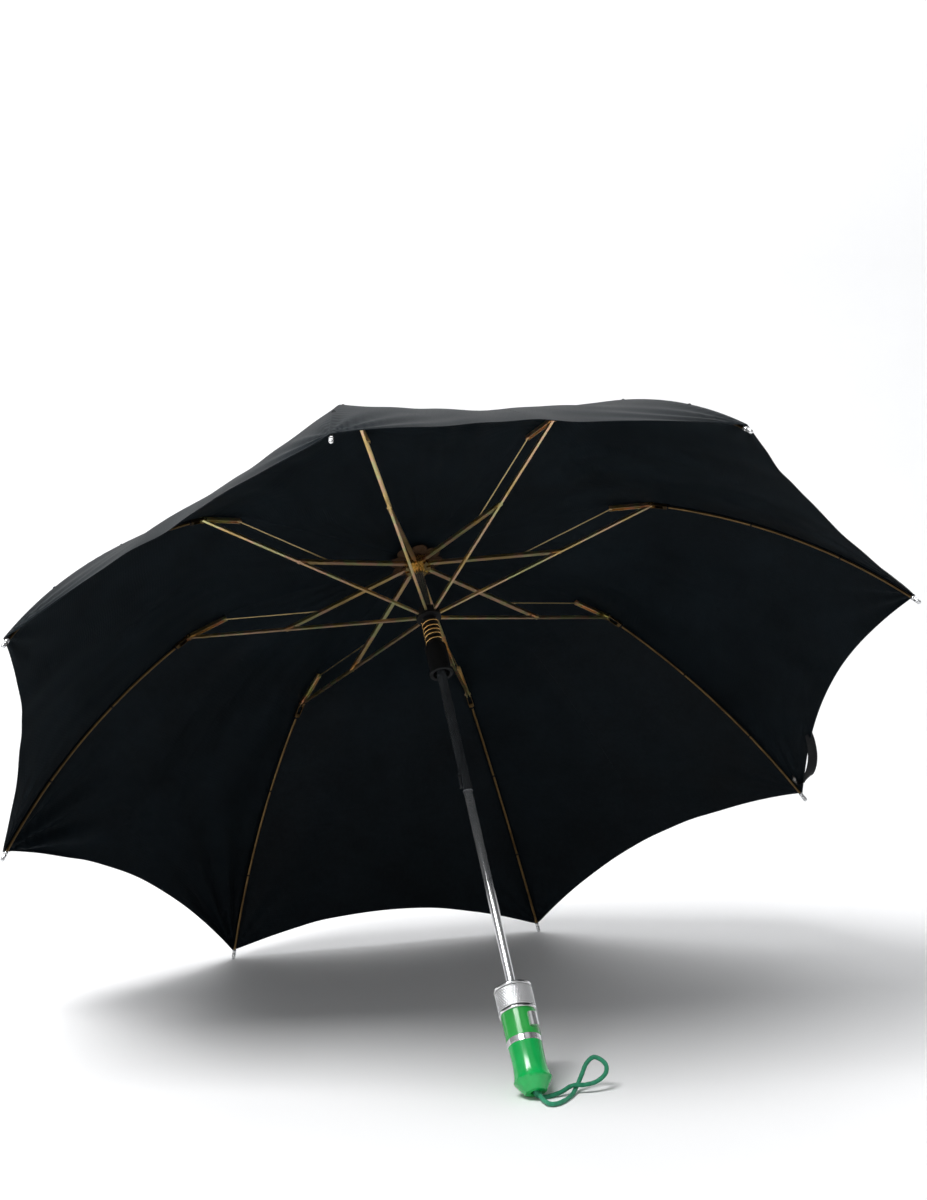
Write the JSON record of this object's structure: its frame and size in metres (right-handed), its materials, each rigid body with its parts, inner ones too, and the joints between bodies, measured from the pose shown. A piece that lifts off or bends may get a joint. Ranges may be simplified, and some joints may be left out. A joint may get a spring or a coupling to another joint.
{
  "type": "folding umbrella",
  "caption": "Open two-fold automatic umbrella with a telescoping shaft, jointed ribs, a thin canopy, a push-button grip and a wrist cord.",
  "frame": {"origin": "centre of the flat base of the handle", "axes": "+Z along the shaft towards the crown; one rib points along -Y and the others follow at equal steps; the push button is between +X and -Y"},
  "size_m": [0.9538, 0.9538, 0.655],
  "materials": {
    "canopy_cloth": "black woven nylon, slight sheen",
    "strap": "black woven tape",
    "rosette_felt": "brown woven cloth",
    "brass_part": "polished brass",
    "rib_steel": "yellow passivated steel, iridescent",
    "link_wire": "yellow passivated wire",
    "black_tube": "black chrome",
    "bright_tube": "bright chrome",
    "spring_steel": "spring steel",
    "spring_brass": "brass wire",
    "black_plastic": "black moulded plastic",
    "green_grip": "glossy green",
    "green_upper": "glossy yellow green",
    "ferrule_chrome": "knurled chrome",
    "button_chrome": "polished chrome",
    "green_cord": "braided green cord"
  },
  "bodies": {
    "handle": {"grip_lower": "green_grip", "grip_ring": "ferrule_chrome", "grip_upper": "green_upper", "ferrule": "ferrule_chrome", "lower_tube": "bright_tube", "lift_spring": "spring_steel"},
    "upper_shaft": {"upper_tube": "black_tube", "crown": "brass_part", "crown_wire": "brass_part", "crown_cap": "black_plastic", "rosette": "rosette_felt", "canopy": "canopy_cloth"},
    "catch": {"tube_catch": "spring_steel"},
    "button": {"button": "button_chrome", "latch": "spring_steel"},
    "cord": {"wrist_cord": "green_cord"},
    "runner": {"runner": "black_plastic", "runner_wire": "brass_part", "runner_spring": "spring_brass"},
    "top_rib_1": {"top_rib_1": "rib_steel"},
    "stretcher_1": {"stretcher_1": "rib_steel"},
    "link_1": {"link_1": "link_wire"},
    "elbow_1": {"elbow_1": "rib_steel"},
    "outer_rib_1": {"outer_rib_1": "rib_steel"},
    "top_rib_2": {"top_rib_2": "rib_steel"},
    "stretcher_2": {"stretcher_2": "rib_steel"},
    "link_2": {"link_2": "link_wire"},
    "elbow_2": {"elbow_2": "rib_steel"},
    "outer_rib_2": {"outer_rib_2": "rib_steel"},
    "top_rib_3": {"top_rib_3": "rib_steel"},
    "stretcher_3": {"stretcher_3": "rib_steel"},
    "link_3": {"link_3": "link_wire"},
    "elbow_3": {"elbow_3": "rib_steel"},
    "outer_rib_3": {"outer_rib_3": "rib_steel"},
    "top_rib_4": {"top_rib_4": "rib_steel"},
    "stretcher_4": {"stretcher_4": "rib_steel"},
    "link_4": {"link_4": "link_wire"},
    "elbow_4": {"elbow_4": "rib_steel"},
    "outer_rib_4": {"outer_rib_4": "rib_steel"},
    "top_rib_5": {"top_rib_5": "rib_steel"},
    "stretcher_5": {"stretcher_5": "rib_steel"},
    "link_5": {"link_5": "link_wire"},
    "elbow_5": {"elbow_5": "rib_steel"},
    "outer_rib_5": {"outer_rib_5": "rib_steel", "tie_band": "strap"},
    "top_rib_6": {"top_rib_6": "rib_steel"},
    "stretcher_6": {"stretcher_6": "rib_steel"},
    "link_6": {"link_6": "link_wire"},
    "elbow_6": {"elbow_6": "rib_steel"},
    "outer_rib_6": {"outer_rib_6": "rib_steel"},
    "top_rib_7": {"top_rib_7": "rib_steel"},
    "stretcher_7": {"stretcher_7": "rib_steel"},
    "link_7": {"link_7": "link_wire"},
    "elbow_7": {"elbow_7": "rib_steel"},
    "outer_rib_7": {"outer_rib_7": "rib_steel"},
    "top_rib_8": {"top_rib_8": "rib_steel"},
    "stretcher_8": {"stretcher_8": "rib_steel"},
    "link_8": {"link_8": "link_wire"},
    "elbow_8": {"elbow_8": "rib_steel"},
    "outer_rib_8": {"outer_rib_8": "rib_steel"}
  },
  "joints": [
    {"name": "telescope", "type": "slide", "parent": "handle", "child": "upper_shaft", "axis": [0, 0, -1], "range_m": [0, 0.15], "stiffness_N_per_m": 80, "springref_m": -0.1, "deforming": ["lift_spring"]},
    {"name": "button_press", "type": "slide", "parent": "handle", "child": "button", "axis": [-0.7986, 0.6018, 0], "range_m": [0, 0.002], "stiffness_N_per_m": 900, "springref_m": -0.001},
    {"name": "cord_swing", "type": "hinge", "parent": "handle", "child": "cord", "pos_m": [0, 0, 0], "axis": [-0.3827, 0.9239, 0], "range_deg": [0, 90], "stiffness_Nm_per_rad": 0.002, "springref_deg": -17.19},
    {"name": "catch_press", "type": "hinge", "parent": "upper_shaft", "child": "catch", "pos_m": [-0.00494, -0.00285, 0.333], "axis": [0.5, -0.866, 0], "range_deg": [0, 2.5], "stiffness_Nm_per_rad": 0.002},
    {"name": "fold", "type": "hinge", "parent": "upper_shaft", "child": "top_rib_1", "pos_m": [-0.00813, -0.00813, 0.596], "axis": [0.7071, -0.7071, 0], "range_deg": [0, 74.6], "stiffness_Nm_per_rad": 0.08, "springref_deg": -85.94, "deforming": ["canopy", "rosette", "tie_band"]},
    {"name": "stretcher_1_turn", "type": "hinge", "parent": "top_rib_1", "child": "stretcher_1", "pos_m": [-0.10512, -0.10512, 0.56332], "axis": [0.7071, -0.7071, 0], "range_deg": [-149.2, 0], "stiffness_Nm_per_rad": 0.03, "springref_deg": 85.94},
    {"name": "elbow_1_turn", "type": "hinge", "parent": "stretcher_1", "child": "elbow_1", "pos_m": [-0.17941, -0.17941, 0.58835], "axis": [0.7071, -0.7071, 0], "range_deg": [0, 149.2], "stiffness_Nm_per_rad": 0.03, "springref_deg": -85.94},
    {"name": "outer_rib_1_flex", "type": "hinge", "parent": "elbow_1", "child": "outer_rib_1", "pos_m": [-0.17941, -0.17941, 0.58835], "axis": [0.7071, -0.7071, 0], "range_deg": [-28.84, 0], "stiffness_Nm_per_rad": 0.03, "springref_deg": 28.65},
    {"name": "link_1_turn", "type": "hinge", "parent": "top_rib_1", "child": "link_1", "pos_m": [-0.07602, -0.07602, 0.57313], "axis": [0.7071, -0.7071, 0], "range_deg": [-149.2, 0], "stiffness_Nm_per_rad": 0.002, "springref_deg": 57.3},
    {"name": "top_rib_2_turn", "type": "hinge", "parent": "upper_shaft", "child": "top_rib_2", "pos_m": [-0.0115, 0, 0.596], "axis": [0, -1, 0], "range_deg": [0, 74.6], "stiffness_Nm_per_rad": 0.08, "springref_deg": -85.94},
    {"name": "stretcher_2_turn", "type": "hinge", "parent": "top_rib_2", "child": "stretcher_2", "pos_m": [-0.14866, 0, 0.56332], "axis": [0, -1, 0], "range_deg": [-149.2, 0], "stiffness_Nm_per_rad": 0.03, "springref_deg": 85.94},
    {"name": "elbow_2_turn", "type": "hinge", "parent": "stretcher_2", "child": "elbow_2", "pos_m": [-0.25372, 0, 0.58835], "axis": [0, -1, 0], "range_deg": [0, 149.2], "stiffness_Nm_per_rad": 0.03, "springref_deg": -85.94},
    {"name": "outer_rib_2_flex", "type": "hinge", "parent": "elbow_2", "child": "outer_rib_2", "pos_m": [-0.25372, 0, 0.58835], "axis": [0, -1, 0], "range_deg": [-28.84, 0], "stiffness_Nm_per_rad": 0.03, "springref_deg": 28.65},
    {"name": "link_2_turn", "type": "hinge", "parent": "top_rib_2", "child": "link_2", "pos_m": [-0.10751, 0, 0.57313], "axis": [0, -1, 0], "range_deg": [-149.2, 0], "stiffness_Nm_per_rad": 0.002, "springref_deg": 57.3},
    {"name": "top_rib_3_turn", "type": "hinge", "parent": "upper_shaft", "child": "top_rib_3", "pos_m": [-0.00813, 0.00813, 0.596], "axis": [-0.7071, -0.7071, 0], "range_deg": [0, 74.6], "stiffness_Nm_per_rad": 0.08, "springref_deg": -85.94},
    {"name": "stretcher_3_turn", "type": "hinge", "parent": "top_rib_3", "child": "stretcher_3", "pos_m": [-0.10512, 0.10512, 0.56332], "axis": [-0.7071, -0.7071, 0], "range_deg": [-149.2, 0], "stiffness_Nm_per_rad": 0.03, "springref_deg": 85.94},
    {"name": "elbow_3_turn", "type": "hinge", "parent": "stretcher_3", "child": "elbow_3", "pos_m": [-0.17941, 0.17941, 0.58835], "axis": [-0.7071, -0.7071, 0], "range_deg": [0, 149.2], "stiffness_Nm_per_rad": 0.03, "springref_deg": -85.94},
    {"name": "outer_rib_3_flex", "type": "hinge", "parent": "elbow_3", "child": "outer_rib_3", "pos_m": [-0.17941, 0.17941, 0.58835], "axis": [-0.7071, -0.7071, 0], "range_deg": [-28.84, 0], "stiffness_Nm_per_rad": 0.03, "springref_deg": 28.65},
    {"name": "link_3_turn", "type": "hinge", "parent": "top_rib_3", "child": "link_3", "pos_m": [-0.07602, 0.07602, 0.57313], "axis": [-0.7071, -0.7071, 0], "range_deg": [-149.2, 0], "stiffness_Nm_per_rad": 0.002, "springref_deg": 57.3},
    {"name": "top_rib_4_turn", "type": "hinge", "parent": "upper_shaft", "child": "top_rib_4", "pos_m": [0, 0.0115, 0.596], "axis": [-1, 0, 0], "range_deg": [0, 74.6], "stiffness_Nm_per_rad": 0.08, "springref_deg": -85.94},
    {"name": "stretcher_4_turn", "type": "hinge", "parent": "top_rib_4", "child": "stretcher_4", "pos_m": [0, 0.14866, 0.56332], "axis": [-1, 0, 0], "range_deg": [-149.2, 0], "stiffness_Nm_per_rad": 0.03, "springref_deg": 85.94},
    {"name": "elbow_4_turn", "type": "hinge", "parent": "stretcher_4", "child": "elbow_4", "pos_m": [0, 0.25372, 0.58835], "axis": [-1, 0, 0], "range_deg": [0, 149.2], "stiffness_Nm_per_rad": 0.03, "springref_deg": -85.94},
    {"name": "outer_rib_4_flex", "type": "hinge", "parent": "elbow_4", "child": "outer_rib_4", "pos_m": [0, 0.25372, 0.58835], "axis": [-1, 0, 0], "range_deg": [-28.84, 0], "stiffness_Nm_per_rad": 0.03, "springref_deg": 28.65},
    {"name": "link_4_turn", "type": "hinge", "parent": "top_rib_4", "child": "link_4", "pos_m": [0, 0.10751, 0.57313], "axis": [-1, 0, 0], "range_deg": [-149.2, 0], "stiffness_Nm_per_rad": 0.002, "springref_deg": 57.3},
    {"name": "top_rib_5_turn", "type": "hinge", "parent": "upper_shaft", "child": "top_rib_5", "pos_m": [0.00813, 0.00813, 0.596], "axis": [-0.7071, 0.7071, 0], "range_deg": [0, 74.6], "stiffness_Nm_per_rad": 0.08, "springref_deg": -85.94},
    {"name": "stretcher_5_turn", "type": "hinge", "parent": "top_rib_5", "child": "stretcher_5", "pos_m": [0.10512, 0.10512, 0.56332], "axis": [-0.7071, 0.7071, 0], "range_deg": [-149.2, 0], "stiffness_Nm_per_rad": 0.03, "springref_deg": 85.94},
    {"name": "elbow_5_turn", "type": "hinge", "parent": "stretcher_5", "child": "elbow_5", "pos_m": [0.17941, 0.17941, 0.58835], "axis": [-0.7071, 0.7071, 0], "range_deg": [0, 149.2], "stiffness_Nm_per_rad": 0.03, "springref_deg": -85.94},
    {"name": "outer_rib_5_flex", "type": "hinge", "parent": "elbow_5", "child": "outer_rib_5", "pos_m": [0.17941, 0.17941, 0.58835], "axis": [-0.7071, 0.7071, 0], "range_deg": [-28.84, 0], "stiffness_Nm_per_rad": 0.03, "springref_deg": 28.65},
    {"name": "link_5_turn", "type": "hinge", "parent": "top_rib_5", "child": "link_5", "pos_m": [0.07602, 0.07602, 0.57313], "axis": [-0.7071, 0.7071, 0], "range_deg": [-149.2, 0], "stiffness_Nm_per_rad": 0.002, "springref_deg": 57.3},
    {"name": "top_rib_6_turn", "type": "hinge", "parent": "upper_shaft", "child": "top_rib_6", "pos_m": [0.0115, 0, 0.596], "axis": [0, 1, 0], "range_deg": [0, 74.6], "stiffness_Nm_per_rad": 0.08, "springref_deg": -85.94},
    {"name": "stretcher_6_turn", "type": "hinge", "parent": "top_rib_6", "child": "stretcher_6", "pos_m": [0.14866, 0, 0.56332], "axis": [0, 1, 0], "range_deg": [-149.2, 0], "stiffness_Nm_per_rad": 0.03, "springref_deg": 85.94},
    {"name": "elbow_6_turn", "type": "hinge", "parent": "stretcher_6", "child": "elbow_6", "pos_m": [0.25372, 0, 0.58835], "axis": [0, 1, 0], "range_deg": [0, 149.2], "stiffness_Nm_per_rad": 0.03, "springref_deg": -85.94},
    {"name": "outer_rib_6_flex", "type": "hinge", "parent": "elbow_6", "child": "outer_rib_6", "pos_m": [0.25372, 0, 0.58835], "axis": [0, 1, 0], "range_deg": [-28.84, 0], "stiffness_Nm_per_rad": 0.03, "springref_deg": 28.65},
    {"name": "link_6_turn", "type": "hinge", "parent": "top_rib_6", "child": "link_6", "pos_m": [0.10751, 0, 0.57313], "axis": [0, 1, 0], "range_deg": [-149.2, 0], "stiffness_Nm_per_rad": 0.002, "springref_deg": 57.3},
    {"name": "top_rib_7_turn", "type": "hinge", "parent": "upper_shaft", "child": "top_rib_7", "pos_m": [0.00813, -0.00813, 0.596], "axis": [0.7071, 0.7071, 0], "range_deg": [0, 74.6], "stiffness_Nm_per_rad": 0.08, "springref_deg": -85.94},
    {"name": "stretcher_7_turn", "type": "hinge", "parent": "top_rib_7", "child": "stretcher_7", "pos_m": [0.10512, -0.10512, 0.56332], "axis": [0.7071, 0.7071, 0], "range_deg": [-149.2, 0], "stiffness_Nm_per_rad": 0.03, "springref_deg": 85.94},
    {"name": "elbow_7_turn", "type": "hinge", "parent": "stretcher_7", "child": "elbow_7", "pos_m": [0.17941, -0.17941, 0.58835], "axis": [0.7071, 0.7071, 0], "range_deg": [0, 149.2], "stiffness_Nm_per_rad": 0.03, "springref_deg": -85.94},
    {"name": "outer_rib_7_flex", "type": "hinge", "parent": "elbow_7", "child": "outer_rib_7", "pos_m": [0.17941, -0.17941, 0.58835], "axis": [0.7071, 0.7071, 0], "range_deg": [-28.84, 0], "stiffness_Nm_per_rad": 0.03, "springref_deg": 28.65},
    {"name": "link_7_turn", "type": "hinge", "parent": "top_rib_7", "child": "link_7", "pos_m": [0.07602, -0.07602, 0.57313], "axis": [0.7071, 0.7071, 0], "range_deg": [-149.2, 0], "stiffness_Nm_per_rad": 0.002, "springref_deg": 57.3},
    {"name": "top_rib_8_turn", "type": "hinge", "parent": "upper_shaft", "child": "top_rib_8", "pos_m": [0, -0.0115, 0.596], "axis": [1, 0, 0], "range_deg": [0, 74.6], "stiffness_Nm_per_rad": 0.08, "springref_deg": -85.94},
    {"name": "stretcher_8_turn", "type": "hinge", "parent": "top_rib_8", "child": "stretcher_8", "pos_m": [0, -0.14866, 0.56332], "axis": [1, 0, 0], "range_deg": [-149.2, 0], "stiffness_Nm_per_rad": 0.03, "springref_deg": 85.94},
    {"name": "elbow_8_turn", "type": "hinge", "parent": "stretcher_8", "child": "elbow_8", "pos_m": [0, -0.25372, 0.58835], "axis": [1, 0, 0], "range_deg": [0, 149.2], "stiffness_Nm_per_rad": 0.03, "springref_deg": -85.94},
    {"name": "outer_rib_8_flex", "type": "hinge", "parent": "elbow_8", "child": "outer_rib_8", "pos_m": [0, -0.25372, 0.58835], "axis": [1, 0, 0], "range_deg": [-28.84, 0], "stiffness_Nm_per_rad": 0.03, "springref_deg": 28.65},
    {"name": "link_8_turn", "type": "hinge", "parent": "top_rib_8", "child": "link_8", "pos_m": [0, -0.10751, 0.57313], "axis": [1, 0, 0], "range_deg": [-149.2, 0], "stiffness_Nm_per_rad": 0.002, "springref_deg": 57.3},
    {"name": "runner_slide_turn", "type": "hinge", "parent": "stretcher_1", "child": "runner", "pos_m": [-0.00813, -0.00813, 0.53065], "axis": [0.7071, -0.7071, 0], "range_deg": [0, 74.6], "stiffness_Nm_per_rad": 0.01, "springref_deg": -57.3}
  ],
  "couplings": [
    {"joint": "stretcher_1_turn", "follows": "fold", "ratio": -2},
    {"joint": "elbow_1_turn", "follows": "fold", "ratio": 2},
    {"joint": "outer_rib_1_flex", "follows": "fold", "ratio": -0.3864},
    {"joint": "link_1_turn", "follows": "fold", "ratio": -2},
    {"joint": "top_rib_2_turn", "follows": "fold", "ratio": 1},
    {"joint": "stretcher_2_turn", "follows": "fold", "ratio": -2},
    {"joint": "elbow_2_turn", "follows": "fold", "ratio": 2},
    {"joint": "outer_rib_2_flex", "follows": "fold", "ratio": -0.3864},
    {"joint": "link_2_turn", "follows": "fold", "ratio": -2},
    {"joint": "top_rib_3_turn", "follows": "fold", "ratio": 1},
    {"joint": "stretcher_3_turn", "follows": "fold", "ratio": -2},
    {"joint": "elbow_3_turn", "follows": "fold", "ratio": 2},
    {"joint": "outer_rib_3_flex", "follows": "fold", "ratio": -0.3864},
    {"joint": "link_3_turn", "follows": "fold", "ratio": -2},
    {"joint": "top_rib_4_turn", "follows": "fold", "ratio": 1},
    {"joint": "stretcher_4_turn", "follows": "fold", "ratio": -2},
    {"joint": "elbow_4_turn", "follows": "fold", "ratio": 2},
    {"joint": "outer_rib_4_flex", "follows": "fold", "ratio": -0.3864},
    {"joint": "link_4_turn", "follows": "fold", "ratio": -2},
    {"joint": "top_rib_5_turn", "follows": "fold", "ratio": 1},
    {"joint": "stretcher_5_turn", "follows": "fold", "ratio": -2},
    {"joint": "elbow_5_turn", "follows": "fold", "ratio": 2},
    {"joint": "outer_rib_5_flex", "follows": "fold", "ratio": -0.3864},
    {"joint": "link_5_turn", "follows": "fold", "ratio": -2},
    {"joint": "top_rib_6_turn", "follows": "fold", "ratio": 1},
    {"joint": "stretcher_6_turn", "follows": "fold", "ratio": -2},
    {"joint": "elbow_6_turn", "follows": "fold", "ratio": 2},
    {"joint": "outer_rib_6_flex", "follows": "fold", "ratio": -0.3864},
    {"joint": "link_6_turn", "follows": "fold", "ratio": -2},
    {"joint": "top_rib_7_turn", "follows": "fold", "ratio": 1},
    {"joint": "stretcher_7_turn", "follows": "fold", "ratio": -2},
    {"joint": "elbow_7_turn", "follows": "fold", "ratio": 2},
    {"joint": "outer_rib_7_flex", "follows": "fold", "ratio": -0.3864},
    {"joint": "link_7_turn", "follows": "fold", "ratio": -2},
    {"joint": "top_rib_8_turn", "follows": "fold", "ratio": 1},
    {"joint": "stretcher_8_turn", "follows": "fold", "ratio": -2},
    {"joint": "elbow_8_turn", "follows": "fold", "ratio": 2},
    {"joint": "outer_rib_8_flex", "follows": "fold", "ratio": -0.3864},
    {"joint": "link_8_turn", "follows": "fold", "ratio": -2},
    {"joint": "runner_slide_turn", "follows": "fold", "ratio": 1}
  ]
}
